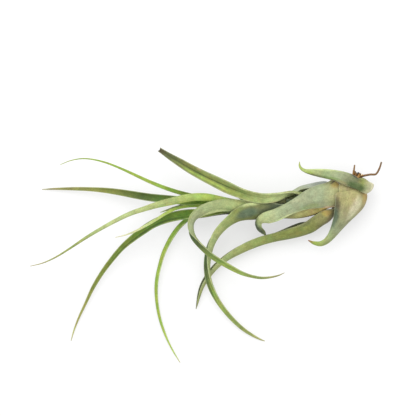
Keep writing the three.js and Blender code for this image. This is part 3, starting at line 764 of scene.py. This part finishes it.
# %% [markdown]
# ## Leaf 09: the long pale leaf
# The longest leaf arches left and ends in the finest tip. It is young, nearly bare of bloom and
# a clear light green, dulling to straw at the very end.

# %% Leaf 09
grow_leaf(
    "leaf_09_long_pale",
    stands_for="leaf_09",
    sheath=[
        (37, 45, 3.4, 30), (43, 50, 3.25, 33), (50, 54, 2.95, 33), (56, 54, 2.6, 33),
    ],
    blade=[
        (10.3, 24, 10.2, 3.3, 192, 50), (5.9, 24.9, 10.7, 3.4, 190, 50),
        (0.9, 25.9, 11.6, 3.5, 188, 50), (-4, 26.1, 12.8, 3.5, 188, 48), (-9, 25.6, 14.4, 3.5, 187, 46),
        (-15.3, 24.2, 16.6, 3.3, 186, 46), (-21.6, 22.7, 19, 2.8, 185, 46),
        (-27.4, 20.9, 21.3, 2.3, 185, 45), (-34.2, 18.6, 23.8, 2, 184, 44),
        (-41, 15.3, 26.2, 1.8, 184, 42), (-47.7, 11.6, 28.4, 1.5, 184, 42),
        (-54.5, 7.5, 30.2, 1.3, 184, 40), (-61.2, 3, 31.6, 0.9, 184, 38),
        (-67.5, -0.9, 32.4, 0.7, 184, 35), (-73.4, -3.6, 32.8, 0.5, 184, 30),
        (-79, -5, 32.8, 0.3, 184, 22),
    ],
    thickness=(1.1, 0.6),
    back=[
        (0, DARK_OLIVE), (1.5, DARK_OLIVE), (3, SAGE), (6, LIME), (9, SAGE), (13, PALE_SAGE),
        (16, MOSS), (19, TAN),
    ],
    front=[(0, DEEP_GREEN), (6, LEAF_GREEN), (19, STRAW)],
    patches=[
        patch(LIME, 8.0, 0.8, 5.0, 0.35, 0.5),
    ],
    bloom=0.08,
)

# %% [markdown]
# ## Leaf 10: the leaf with the big curl
# This leaf rises over the neck of the plant, turns through a wide curl and comes back to the right.
# On the curl its margins are pale and a dark line of painted shade follows the bottom of the channel.

# %% Leaf 10
grow_leaf(
    "leaf_10_big_curl",
    stands_for="leaf_10",
    sheath=[
        (43, -34, 3.3, 38), (50, -38, 3.15, 37),
    ],
    blade=[
        (15.3, 21.7, 12.4, 5, 174, 50), (11.2, 22.2, 13.2, 5.4, 172, 48), (5.9, 22.1, 14, 5.4, 171, 48),
        (0.6, 20.7, 14.8, 5.3, 165, 50), (-3, 19, 15.3, 5, 150, 55), (-5.7, 16.5, 15.5, 4.9, 126, 60),
        (-6.8, 13.6, 15.5, 4.6, 106, 74), (-6.7, 10.8, 15.3, 4.5, 88, 80), (-5.5, 7.9, 14.9, 4, 68, 66),
        (-3.5, 5.3, 14.4, 3.3, 54, 58), (-0.6, 2.4, 13.6, 3.1, 46, 55), (3.2, -0.8, 12.7, 3, 42, 54),
        (7.4, -3.4, 11.9, 2.9, 40, 52), (11.7, -5.9, 11.2, 2.6, 38, 50), (16, -8.1, 10.7, 2.1, 38, 48),
        (20.2, -9.5, 10.4, 1.6, 38, 46), (24.8, -10.3, 10.3, 1.3, 38, 44), (29.2, -10, 10.5, 1, 40, 42),
        (32.9, -9.1, 10.8, 0.7, 42, 34), (35.3, -8, 11.2, 0.3, 44, 22),
    ],
    thickness=(1.1, 0.6),
    back=[(0, OLIVE), (2, SAGE), (8, GREY_GREEN), (11, SAGE), (16, MOSS), (21, TAN)],
    front=[(0, DEEP_GREEN), (11, DEEP_GREEN), (14.5, FRESH_GREEN), (18, MOSS), (21, TAN)],
    patches=[
        patch(PALE_GREEN, 5.0, 0.75, 3.0, 0.42, 0.75, "back"),
        patch(MOSS, 7.0, -0.95, 2.2, 0.35, 0.6, "back"),
        patch(LIME, 15.0, -0.95, 1.4, 0.3, 0.7, "front"),
        # painted shade along the bottom of the channel
        patch(LEAF_GREEN, 13.5, 0.0, 2.5, 0.2, 0.7, "front"),
    ],
    bloom=0.12,
)

# %% [markdown]
# ## Leaf 11: the dark leaf that points left
# A deep green leaf that runs straight left, with its channel up. It turns olive towards the tip.

# %% Leaf 11
grow_leaf(
    "leaf_11_dark_left",
    stands_for="leaf_11",
    sheath=[
        (55, 134, 2.9, 34), (61, 137, 2.8, 36),
    ],
    blade=[
        (5.9, 22.7, 7.2, 3.2, 22, 48), (-0.5, 22.9, 7.2, 3.6, 12, 50), (-5.9, 23.5, 7.6, 3.7, 8, 50),
        (-11.7, 24.5, 7.4, 3.6, 6, 50), (-18.4, 25.2, 7, 3.5, 4, 50), (-25.2, 25.9, 6.5, 3.4, 2, 50),
        (-31.9, 27, 5.9, 3.2, 0, 48), (-38.7, 28.2, 5.1, 2.8, 0, 46), (-45.5, 29.1, 4.3, 2.3, 0, 45),
        (-52.2, 29.6, 3.4, 1.8, 0, 42), (-59, 29.8, 2.4, 1.5, 0, 40), (-64.8, 29.8, 1.6, 1.1, 0, 38),
        (-69.8, 29.7, 0.9, 0.7, 0, 32), (-73.7, 29.5, 0.35, 0.3, 0, 22),
    ],
    thickness=(1.1, 0.6),
    back=[(0, DEEP_GREEN), (6, LEAF_GREEN), (15, STRAW)],
    front=[
        (0, DEEP_GREEN), (3, BRIGHT_GREEN), (5, LEAF_GREEN), (7.5, DEEP_GREEN), (10, OLIVE),
        (15, DRY_TAN),
    ],
    bloom=0.04,
)

# %% [markdown]
# ## Leaf 12: the broad dark leaf that sweeps down
# The darkest leaf leaves the neck as a broad channel and sweeps down to the left in a long arc.
# Its upper half catches the light, and the half below the crease is darkened with painted shade.
# Near the neck, where leaf 10 lies over it, its back is painted near-black as a painted shadow.

# %% Leaf 12
grow_leaf(
    "leaf_12_dark_sweep",
    stands_for="leaf_12",
    sheath=[
        (55, -96, 2.9, 34), (60, -92, 2.8, 33),
    ],
    blade=[
        (3.6, 19.1, 9.2, 3.9, 40, 54), (-1.8, 18.6, 9.4, 4.1, 22, 54), (-7.2, 18.4, 9.4, 4.3, 12, 54),
        (-12.6, 17.7, 9.3, 4.3, 6, 54), (-18, 16.4, 9, 4.1, 2, 54), (-23.4, 14.2, 8.5, 3.7, 0, 54),
        (-28.3, 11.1, 7.8, 3.6, 0, 54), (-32.5, 7.9, 6.8, 3.1, 0, 52), (-37.5, 3.6, 5.6, 2.5, 0, 50),
        (-42.2, -1.8, 4.5, 2.2, 0, 50), (-46.8, -8, 3.5, 1.9, 0, 48), (-50.9, -14.8, 2.6, 1.6, 0, 45),
        (-54.2, -21.8, 1.8, 1.2, 0, 42), (-57.3, -28.4, 1.2, 0.9, 0, 40),
        (-59.5, -34.2, 0.7, 0.6, 0, 35), (-60.7, -38.5, 0.35, 0.3, 0, 22),
    ],
    thickness=(1, 0.6),
    # painted shadow of leaf 10 on the base of the back
    back=[(0, PAINTED_SHADOW_BLACK_GREEN), (2, PAINTED_SHADOW_BLACK_GREEN), (8, DEEP_GREEN), (17, STRAW)],
    front=[
        (0, DEEP_GREEN), (2.5, FRESH_GREEN), (4, LEAF_GREEN), (8, LEAF_GREEN), (13, OLIVE), (17, STRAW),
    ],
    patches=[
        # painted shade on the half below the crease
        patch(DEEP_GREEN, 8.0, -0.55, 6.0, 0.42, 0.85, "front"),
    ],
    bloom=0.03,
    crease=0.2,
)

# %% [markdown]
# ## Leaf 13: the bright leaf that sweeps down
# A young bright leaf that turns down and rests its tip on the surface. Its light margin faces
# the middle of the arc.

# %% Leaf 13
grow_leaf(
    "leaf_13_bright_down",
    stands_for="leaf_13",
    sheath=[
        (58, -157, 3.1, 25),
    ],
    blade=[
        (-0.5, 19.3, 5, 2.7, 52, 52), (-5, 18, 4.9, 2.7, 52, 52), (-8.6, 15.8, 4.9, 2.6, 50, 52),
        (-11.9, 12.8, 4.8, 2.6, 48, 54), (-14.8, 9, 4.7, 2.5, 45, 54), (-17.3, 4.7, 4.6, 2.3, 42, 54),
        (-19.3, 0.2, 4.2, 2.1, 40, 52), (-20.7, -4.5, 3.7, 1.9, 38, 50),
        (-21.8, -9.2, 3.2, 1.8, 36, 50), (-22.4, -14.2, 2.7, 1.7, 34, 48),
        (-22.3, -19.1, 2.3, 1.5, 32, 46), (-21.7, -24.1, 2, 1.4, 30, 45),
        (-20.6, -29.2, 1.7, 1.3, 28, 44), (-18.9, -34.4, 1.3, 1.1, 28, 42),
        (-16.7, -39.6, 1.05, 0.8, 28, 38), (-14, -44.6, 0.7, 0.6, 28, 34),
        (-11.7, -48.3, 0.35, 0.3, 28, 22),
    ],
    thickness=(0.9, 0.6),
    back=[
        (0, LEAF_GREEN), (5, FRESH_GREEN), (8, PALE_GREEN), (10, FRESH_GREEN), (16, LIME), (17, STRAW),
    ],
    front=[
        (0, LEAF_GREEN), (3, BRIGHT_GREEN), (7, FRESH_GREEN), (12, FRESH_GREEN), (15.5, LIME),
        (17, STRAW),
    ],
    patches=[
        patch(LEAF_GREEN, 7.5, 1.0, 6.0, 0.35, 0.7, "front"),
    ],
    bloom=0.04,
)

# %% [markdown]
# ## Leaf 14: the thin leaf in front
# One of the youngest leaves, thin and yellow-green, lying in front of the dark one.

# %% Leaf 14
grow_leaf(
    "leaf_14_thin_front",
    stands_for="leaf_14",
    sheath=[],
    blade=[
        (6.3, 21.8, 9.6, 1.4, 0, 42), (-0.5, 22.1, 9.7, 1.4, 0, 42), (-7.2, 22.1, 10.6, 1.4, 0, 42),
        (-13.1, 21, 12, 1.3, 0, 42), (-18, 18.8, 13.4, 1.3, 0, 42), (-22.5, 15.9, 14.8, 1.2, 0, 42),
        (-26.6, 13.5, 16.2, 1.1, 0, 40), (-30.6, 11.3, 17.6, 0.9, 0, 38),
        (-35.6, 9.2, 19.2, 0.6, 0, 35), (-40.8, 7.9, 20.9, 0.3, 0, 22),
    ],
    thickness=(0.8, 0.6),
    back=[(0, LEAF_GREEN), (9, STRAW)],
    front=[(0, LEAF_GREEN), (1, LEAF_GREEN), (3.5, LIME), (9, CREAM)],
    bloom=0.03,
)

# %% [markdown]
# ## Leaf 15: the thin leaf at the upper left
# Another of the youngest leaves. It rises as it leaves the plant and bows over at its tip.

# %% Leaf 15
grow_leaf(
    "leaf_15_thin_upper",
    stands_for="leaf_15",
    sheath=[],
    blade=[
        (5.9, 24.2, 9.3, 1.4, 0, 42), (0, 25.5, 9.3, 1.8, 0, 42), (-5.9, 26.6, 9.9, 1.9, 0, 42),
        (-12.6, 28.3, 11.2, 1.8, 0, 42), (-18.4, 30.2, 13, 1.7, 0, 42), (-25.2, 32.9, 15.2, 1.5, 0, 42),
        (-31.9, 36, 17.4, 1.3, 0, 42), (-38.7, 39.1, 19.6, 1, 0, 40), (-45.5, 41.7, 21.7, 0.8, 0, 38),
        (-52.2, 43.2, 23.6, 0.6, 0, 35), (-56.7, 43.3, 24.7, 0.5, 0, 32),
        (-61.2, 42.4, 25.6, 0.4, 0, 30), (-65.5, 40.7, 26.3, 0.3, 0, 22),
    ],
    thickness=(0.8, 0.6),
    back=[(0, LEAF_GREEN), (12, SAGE)],
    front=[(0, LEAF_GREEN), (2.5, LEAF_GREEN), (4.5, FRESH_GREEN), (10, FRESH_GREEN), (12, SAGE)],
    bloom=0.03,
)

# %% [markdown]
# ## Leaf 16: the short dark tip
# The newest leaf, of which only a short dark tip has come out between its neighbours.

# %% Leaf 16
grow_leaf(
    "leaf_16_dark_tip",
    stands_for="leaf_16",
    sheath=[],
    blade=[
        (3.6, 22.9, 5.4, 1.5, 0, 45), (-0.9, 23.1, 5, 1.7, 0, 45), (-5.9, 22.9, 4.9, 1.6, 0, 45),
        (-9.9, 22.3, 4.8, 1.4, 0, 42), (-14, 21.4, 4.6, 1, 0, 40), (-17.6, 20.2, 4.4, 0.7, 0, 35),
        (-20.5, 19.2, 4.2, 0.3, 0, 22),
    ],
    thickness=(0.8, 0.6),
    back=[(0, LEAF_GREEN), (6, OLIVE)],
    front=[(0, LEAF_GREEN), (3, LEAF_GREEN), (5, SAGE)],
    bloom=0.04,
)

# %% [markdown]
# ## The stem, its roots and the broken stubs
# An air plant's stem is short and woody, and its roots only hold it to a branch. On this plant one
# long root still curves out, one short root stands up, and the rest have broken off to stubs. They
# grew as one with the stem, so they are one piece. Each is a tube swept along a line. Its outline
# is made a little uneven by a seeded draw, as a dry root is, and a stub's end is left ragged.

# %% Tubes for the stem, roots and stubs
ROOT_SEED = 7
draw = np.random.default_rng(ROOT_SEED)


def tube(points, radius_at, rings, sides, uneven, ragged=0.0, tone=0.0):
    """A closed tube along a smooth line, as points, faces and the numbers kept on its points."""
    points = [np.array(p, float) for p in points]
    last = len(points) - 1
    angles = np.linspace(0, 2 * np.pi, sides, endpoint=False)
    made, numbers, faces = [], [], []
    for i in range(rings + 1):
        share = i / rings
        middle, heading = line_at(points, share * last)
        first, second = across_line(heading, 0), across_line(heading, 90)
        radius = radius_at(share) * (1 + uneven * draw.uniform(-1, 1, sides))
        ring = middle + np.outer(radius * np.cos(angles), first)
        ring = ring + np.outer(radius * np.sin(angles), second)
        if i == rings:
            ring = ring + np.outer(draw.uniform(-ragged, ragged, sides), heading)
        made.append(ring)
        numbers += [(share, tone)] * sides
    made.append(made[-1].mean(axis=0)[None, :] - heading * ragged)
    numbers.append((1.0, tone))
    ring = np.arange(sides)
    nxt = (ring + 1) % sides
    for i in range(rings):
        a, b = i * sides, (i + 1) * sides
        faces += np.column_stack((a + nxt, b + nxt, b + ring, a + ring)).tolist()
    end = rings * sides
    faces += [(end + n, (rings + 1) * sides, end + k) for k, n in zip(ring.tolist(), nxt.tolist())]
    faces.append(ring[::-1].tolist())
    return np.vstack(made), faces, numbers


STEM_TONE = 0.15
stem_radii = list(STEM[:, 3])
stem_last = len(STEM) - 1
parts = [
    tube(STEM[:, :3], lambda u: value_at(stem_radii, u * stem_last), 90, 24, 0.03, 0.15, STEM_TONE),
]

LONG_ROOT = [
    (68.6, 34.6, 7.4), (70.9, 35.6, 7.8), (73.8, 36.2, 8.0),
    (76.4, 36.4, 8.2), (77.9, 38.6, 8.5), (79.0, 41.9, 9.0),
]
SHORT_ROOT = [(66.8, 35.2, 7.4), (66.6, 38.0, 8.6), (66.9, 40.5, 9.2)]
parts.append(tube(LONG_ROOT, lambda u: 0.48 * (1 - 0.2 * u * u), 60, 12, 0.08, 0.05, 0.45))
parts.append(tube(SHORT_ROOT, lambda u: 0.42 * (1 - 0.2 * u * u), 30, 12, 0.08, 0.05, 0.55))

# The same spiral of stubs as on the measured stem, on its root end.
STUBS = {"count": 9, "spread": 2.0, "radius": (0.45, 0.85), "length": (1.2, 2.6)}
STUB_TONES = (0.35, 0.6, 0.05, 0.5, 0.9, 0.3, 0.7, 0.4, 0.6)  # 0 black, then brown and orange, 1 cream


def seeded_numbers(seed):
    """Numbers from 0 to 1 that are the same on every run."""
    while True:
        seed = seed * 16807 % 2147483647
        yield seed / 2147483647


numbers_from = seeded_numbers(ROOT_SEED)
root_end, towards_tip = line_at(STEM[:, :3], 0.0)
outward = -towards_tip
level = np.cross(UP, outward)
level /= np.linalg.norm(level)
golden_angle = math.pi * (3 - math.sqrt(5))
for i in range(STUBS["count"]):
    distance = STUBS["spread"] * math.sqrt((i + 0.5) / STUBS["count"])
    sideways, upwards = distance * math.cos(i * golden_angle), distance * math.sin(i * golden_angle)
    start = root_end + level * sideways + UP * upwards
    lean = outward + level * 0.25 * sideways + UP * 0.25 * upwards
    low, high = STUBS["length"]
    end = start + lean / np.linalg.norm(lean) * (low + (high - low) * next(numbers_from))
    low, high = STUBS["radius"]
    size = low + (high - low) * next(numbers_from)
    run = [start - outward * 0.8, start * 0.5 + end * 0.5, end]
    parts.append(tube(run, lambda u: size * (1 - 0.25 * u), 14, 14, 0.10, 0.18, STUB_TONES[i]))

points, faces, kept = [], [], []
for part_points, part_faces, part_numbers in parts:
    faces += [[k + len(points) for k in face] for face in part_faces]
    points += (part_points * MM).tolist()
    kept += part_numbers
mesh = bpy.data.meshes.new("stem_with_roots")
mesh.from_pydata(points, [], faces)
mesh.attributes.new("along", "FLOAT", "POINT").data.foreach_set("value", [n[0] for n in kept])
mesh.attributes.new("tone", "FLOAT", "POINT").data.foreach_set("value", [n[1] for n in kept])
mesh.validate()
mesh.shade_smooth()
stem = bpy.data.objects.new("stem_with_roots", mesh)
bpy.context.scene.collection.objects.link(stem)
print("stem, roots and stubs:", len(parts), "parts,", len(points), "points")

# %% [markdown]
# ## Bark and dry root
# The roots are wiry: red-brown, a little shiny, dusty at their tips. The stubs are broken fibre,
# from nearly black through orange-brown to cream where the break is fresh. One material does all
# of it, because one kept number says how pale each stub is, and noise gives the fibre its grain.

# %% The bark's finish
bark = Finish("bark_and_root")
along, tone = bark.kept("along"), bark.kept("tone")
here = bark.node("TexCoord", output="Object")
grain = bark.node("TexNoise", {"Vector": here, "Scale": 2200.0, "Detail": 4.0})
blotch = bark.node("TexNoise", {"Vector": here, "Scale": 700.0, "Detail": 2.0})
shade = bark.sum("MULTIPLY_ADD", blotch, 0.35, bark.sum("SUBTRACT", tone, 0.17))
wood = bark.ramp(shade, [(0.0, "#140e08"), (0.2, "#38220f"), (0.45, "#60421a"), (0.65, "#8a6430"),
                         (0.85, "#c49858"), (1.0, "#e4c890")])
dusty = bark.between(along, 0.9, 1.0, 0.0, 0.5)
wood = bark.blend(dusty, wood, "#78705e")
is_stem = bark.sum("COMPARE", tone, STEM_TONE, 0.01)
wood = bark.blend(bark.sum("MULTIPLY", is_stem, bark.between(along, 0.25, 0.45)), wood, "#3c4c2c")
value = bark.sum("MULTIPLY_ADD", grain, 0.6, 0.7)
wood = bark.node("HueSaturation", {"Color": wood, "Value": value})
bump = bark.node("Bump", {"Height": grain, "Strength": 0.7, "Distance": 0.08 * MM}, output="Normal")
inputs = {"Base Color": wood, "Roughness": bark.between(grain, 0.3, 0.7, 0.5, 0.8), "Normal": bump}
bark.node("OutputMaterial", {0: bark.node("BsdfPrincipled", inputs)})
stem.data.materials.append(bark.material)
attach(stem, "root")
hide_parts("stem_and_roots")
print("bark mixed from", len(bark.tree.nodes), "nodes")

# %% [markdown]
# ## The floor and the light
# The plant lies on a plain pale surface in soft light that comes from above and a little from the
# far side, so the faces turned to the near side are in soft shade. A wide lamp gives that light,
# and an even white sky keeps the shade open. Plain values keep the greens as they are. The thin
# tips would be lost on a bright floor and their shadows would look heavy, so the paper is a mid
# grey with a faint light of its own: it still reads as white, and shadows on it stay pale.

# %% Floor, light and view
FLOOR_SIZE = 3.0  # metres
SKY_STRENGTH = 1.3
LAMP_PLACE = (-0.1, 0.65, 0.85)  # metres
LAMP_TARGET = (0.0, 0.02, 0.0)
LAMP_SIZE = 0.9  # metres, wide enough that shadows are soft
LAMP_POWER = 9.8  # watts
floor_mesh = bpy.data.meshes.new("floor")
corner = FLOOR_SIZE / 2
corners = [(-corner, -corner, 0), (corner, -corner, 0), (corner, corner, 0), (-corner, corner, 0)]
floor_mesh.from_pydata(corners, [], [(0, 1, 2, 3)])
floor = bpy.data.objects.new("floor", floor_mesh)
bpy.context.scene.collection.objects.link(floor)
paper = Finish("pale_paper")
paper_inputs = {
    "Base Color": linear("#909090"),
    "Roughness": 0.9,
    "Specular IOR Level": 0.1,
    "Emission Color": linear("#ffffff"),
    "Emission Strength": 0.56,
}
paper.node("OutputMaterial", {0: paper.node("BsdfPrincipled", paper_inputs)})
floor.data.materials.append(paper.material)
floor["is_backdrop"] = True

world = bpy.data.worlds.new("white_sky")
bpy.context.scene.world = world
world.use_nodes = True
world.node_tree.nodes["Background"].inputs["Color"].default_value = (1.0, 1.0, 1.0, 1.0)
world.node_tree.nodes["Background"].inputs["Strength"].default_value = SKY_STRENGTH


def lamp(name, place, target, size, power):
    """A soft square lamp that faces a target."""
    light = bpy.data.lights.new(name, "AREA")
    light.size = size
    light.energy = power
    holder = bpy.data.objects.new(name, light)
    holder.location = place
    way = np.array(target) - np.array(place)
    holder.rotation_euler = Vector(way).to_track_quat("-Z", "Y").to_euler()
    bpy.context.scene.collection.objects.link(holder)
    return holder


lamp("wide_lamp", LAMP_PLACE, LAMP_TARGET, LAMP_SIZE, LAMP_POWER)
bpy.context.scene.view_settings.view_transform = "Standard"

# %% [markdown]
# ## The camera
# The plant is seen from straight above. A camera with parallel rays keeps every leaf at its real
# place in the picture, whatever its height over the floor.

# %% The camera
PICTURE_SIDE = 187.2  # millimetres of floor across the square picture
PICTURE_MIDDLE = (0.9, 21.15)  # millimetres
CAMERA_HEIGHT = 0.6  # metres
view = bpy.data.cameras.new("view_from_above")
view.type = "ORTHO"
view.ortho_scale = PICTURE_SIDE * MM
view.clip_start, view.clip_end = 0.01, 3.0
camera = bpy.data.objects.new("view_from_above", view)
camera.location = (PICTURE_MIDDLE[0] * MM, PICTURE_MIDDLE[1] * MM, CAMERA_HEIGHT)
bpy.context.scene.collection.objects.link(camera)
bpy.context.scene.camera = camera
print("picture side:", view.ortho_scale, "m")

# %% [markdown]
# ## Compare the sizes and finish
# The dressed plant has to fit the measured one, so the sizes of both boxes are printed.

# %% Sizes
dressed_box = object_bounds()
for axis, letter in enumerate("xyz"):
    old = measured_box[1][axis] - measured_box[0][axis]
    new = dressed_box[1][axis] - dressed_box[0][axis]
    print(f"{letter}: measured {old / MM:.1f} mm, dressed {new / MM:.1f} mm")
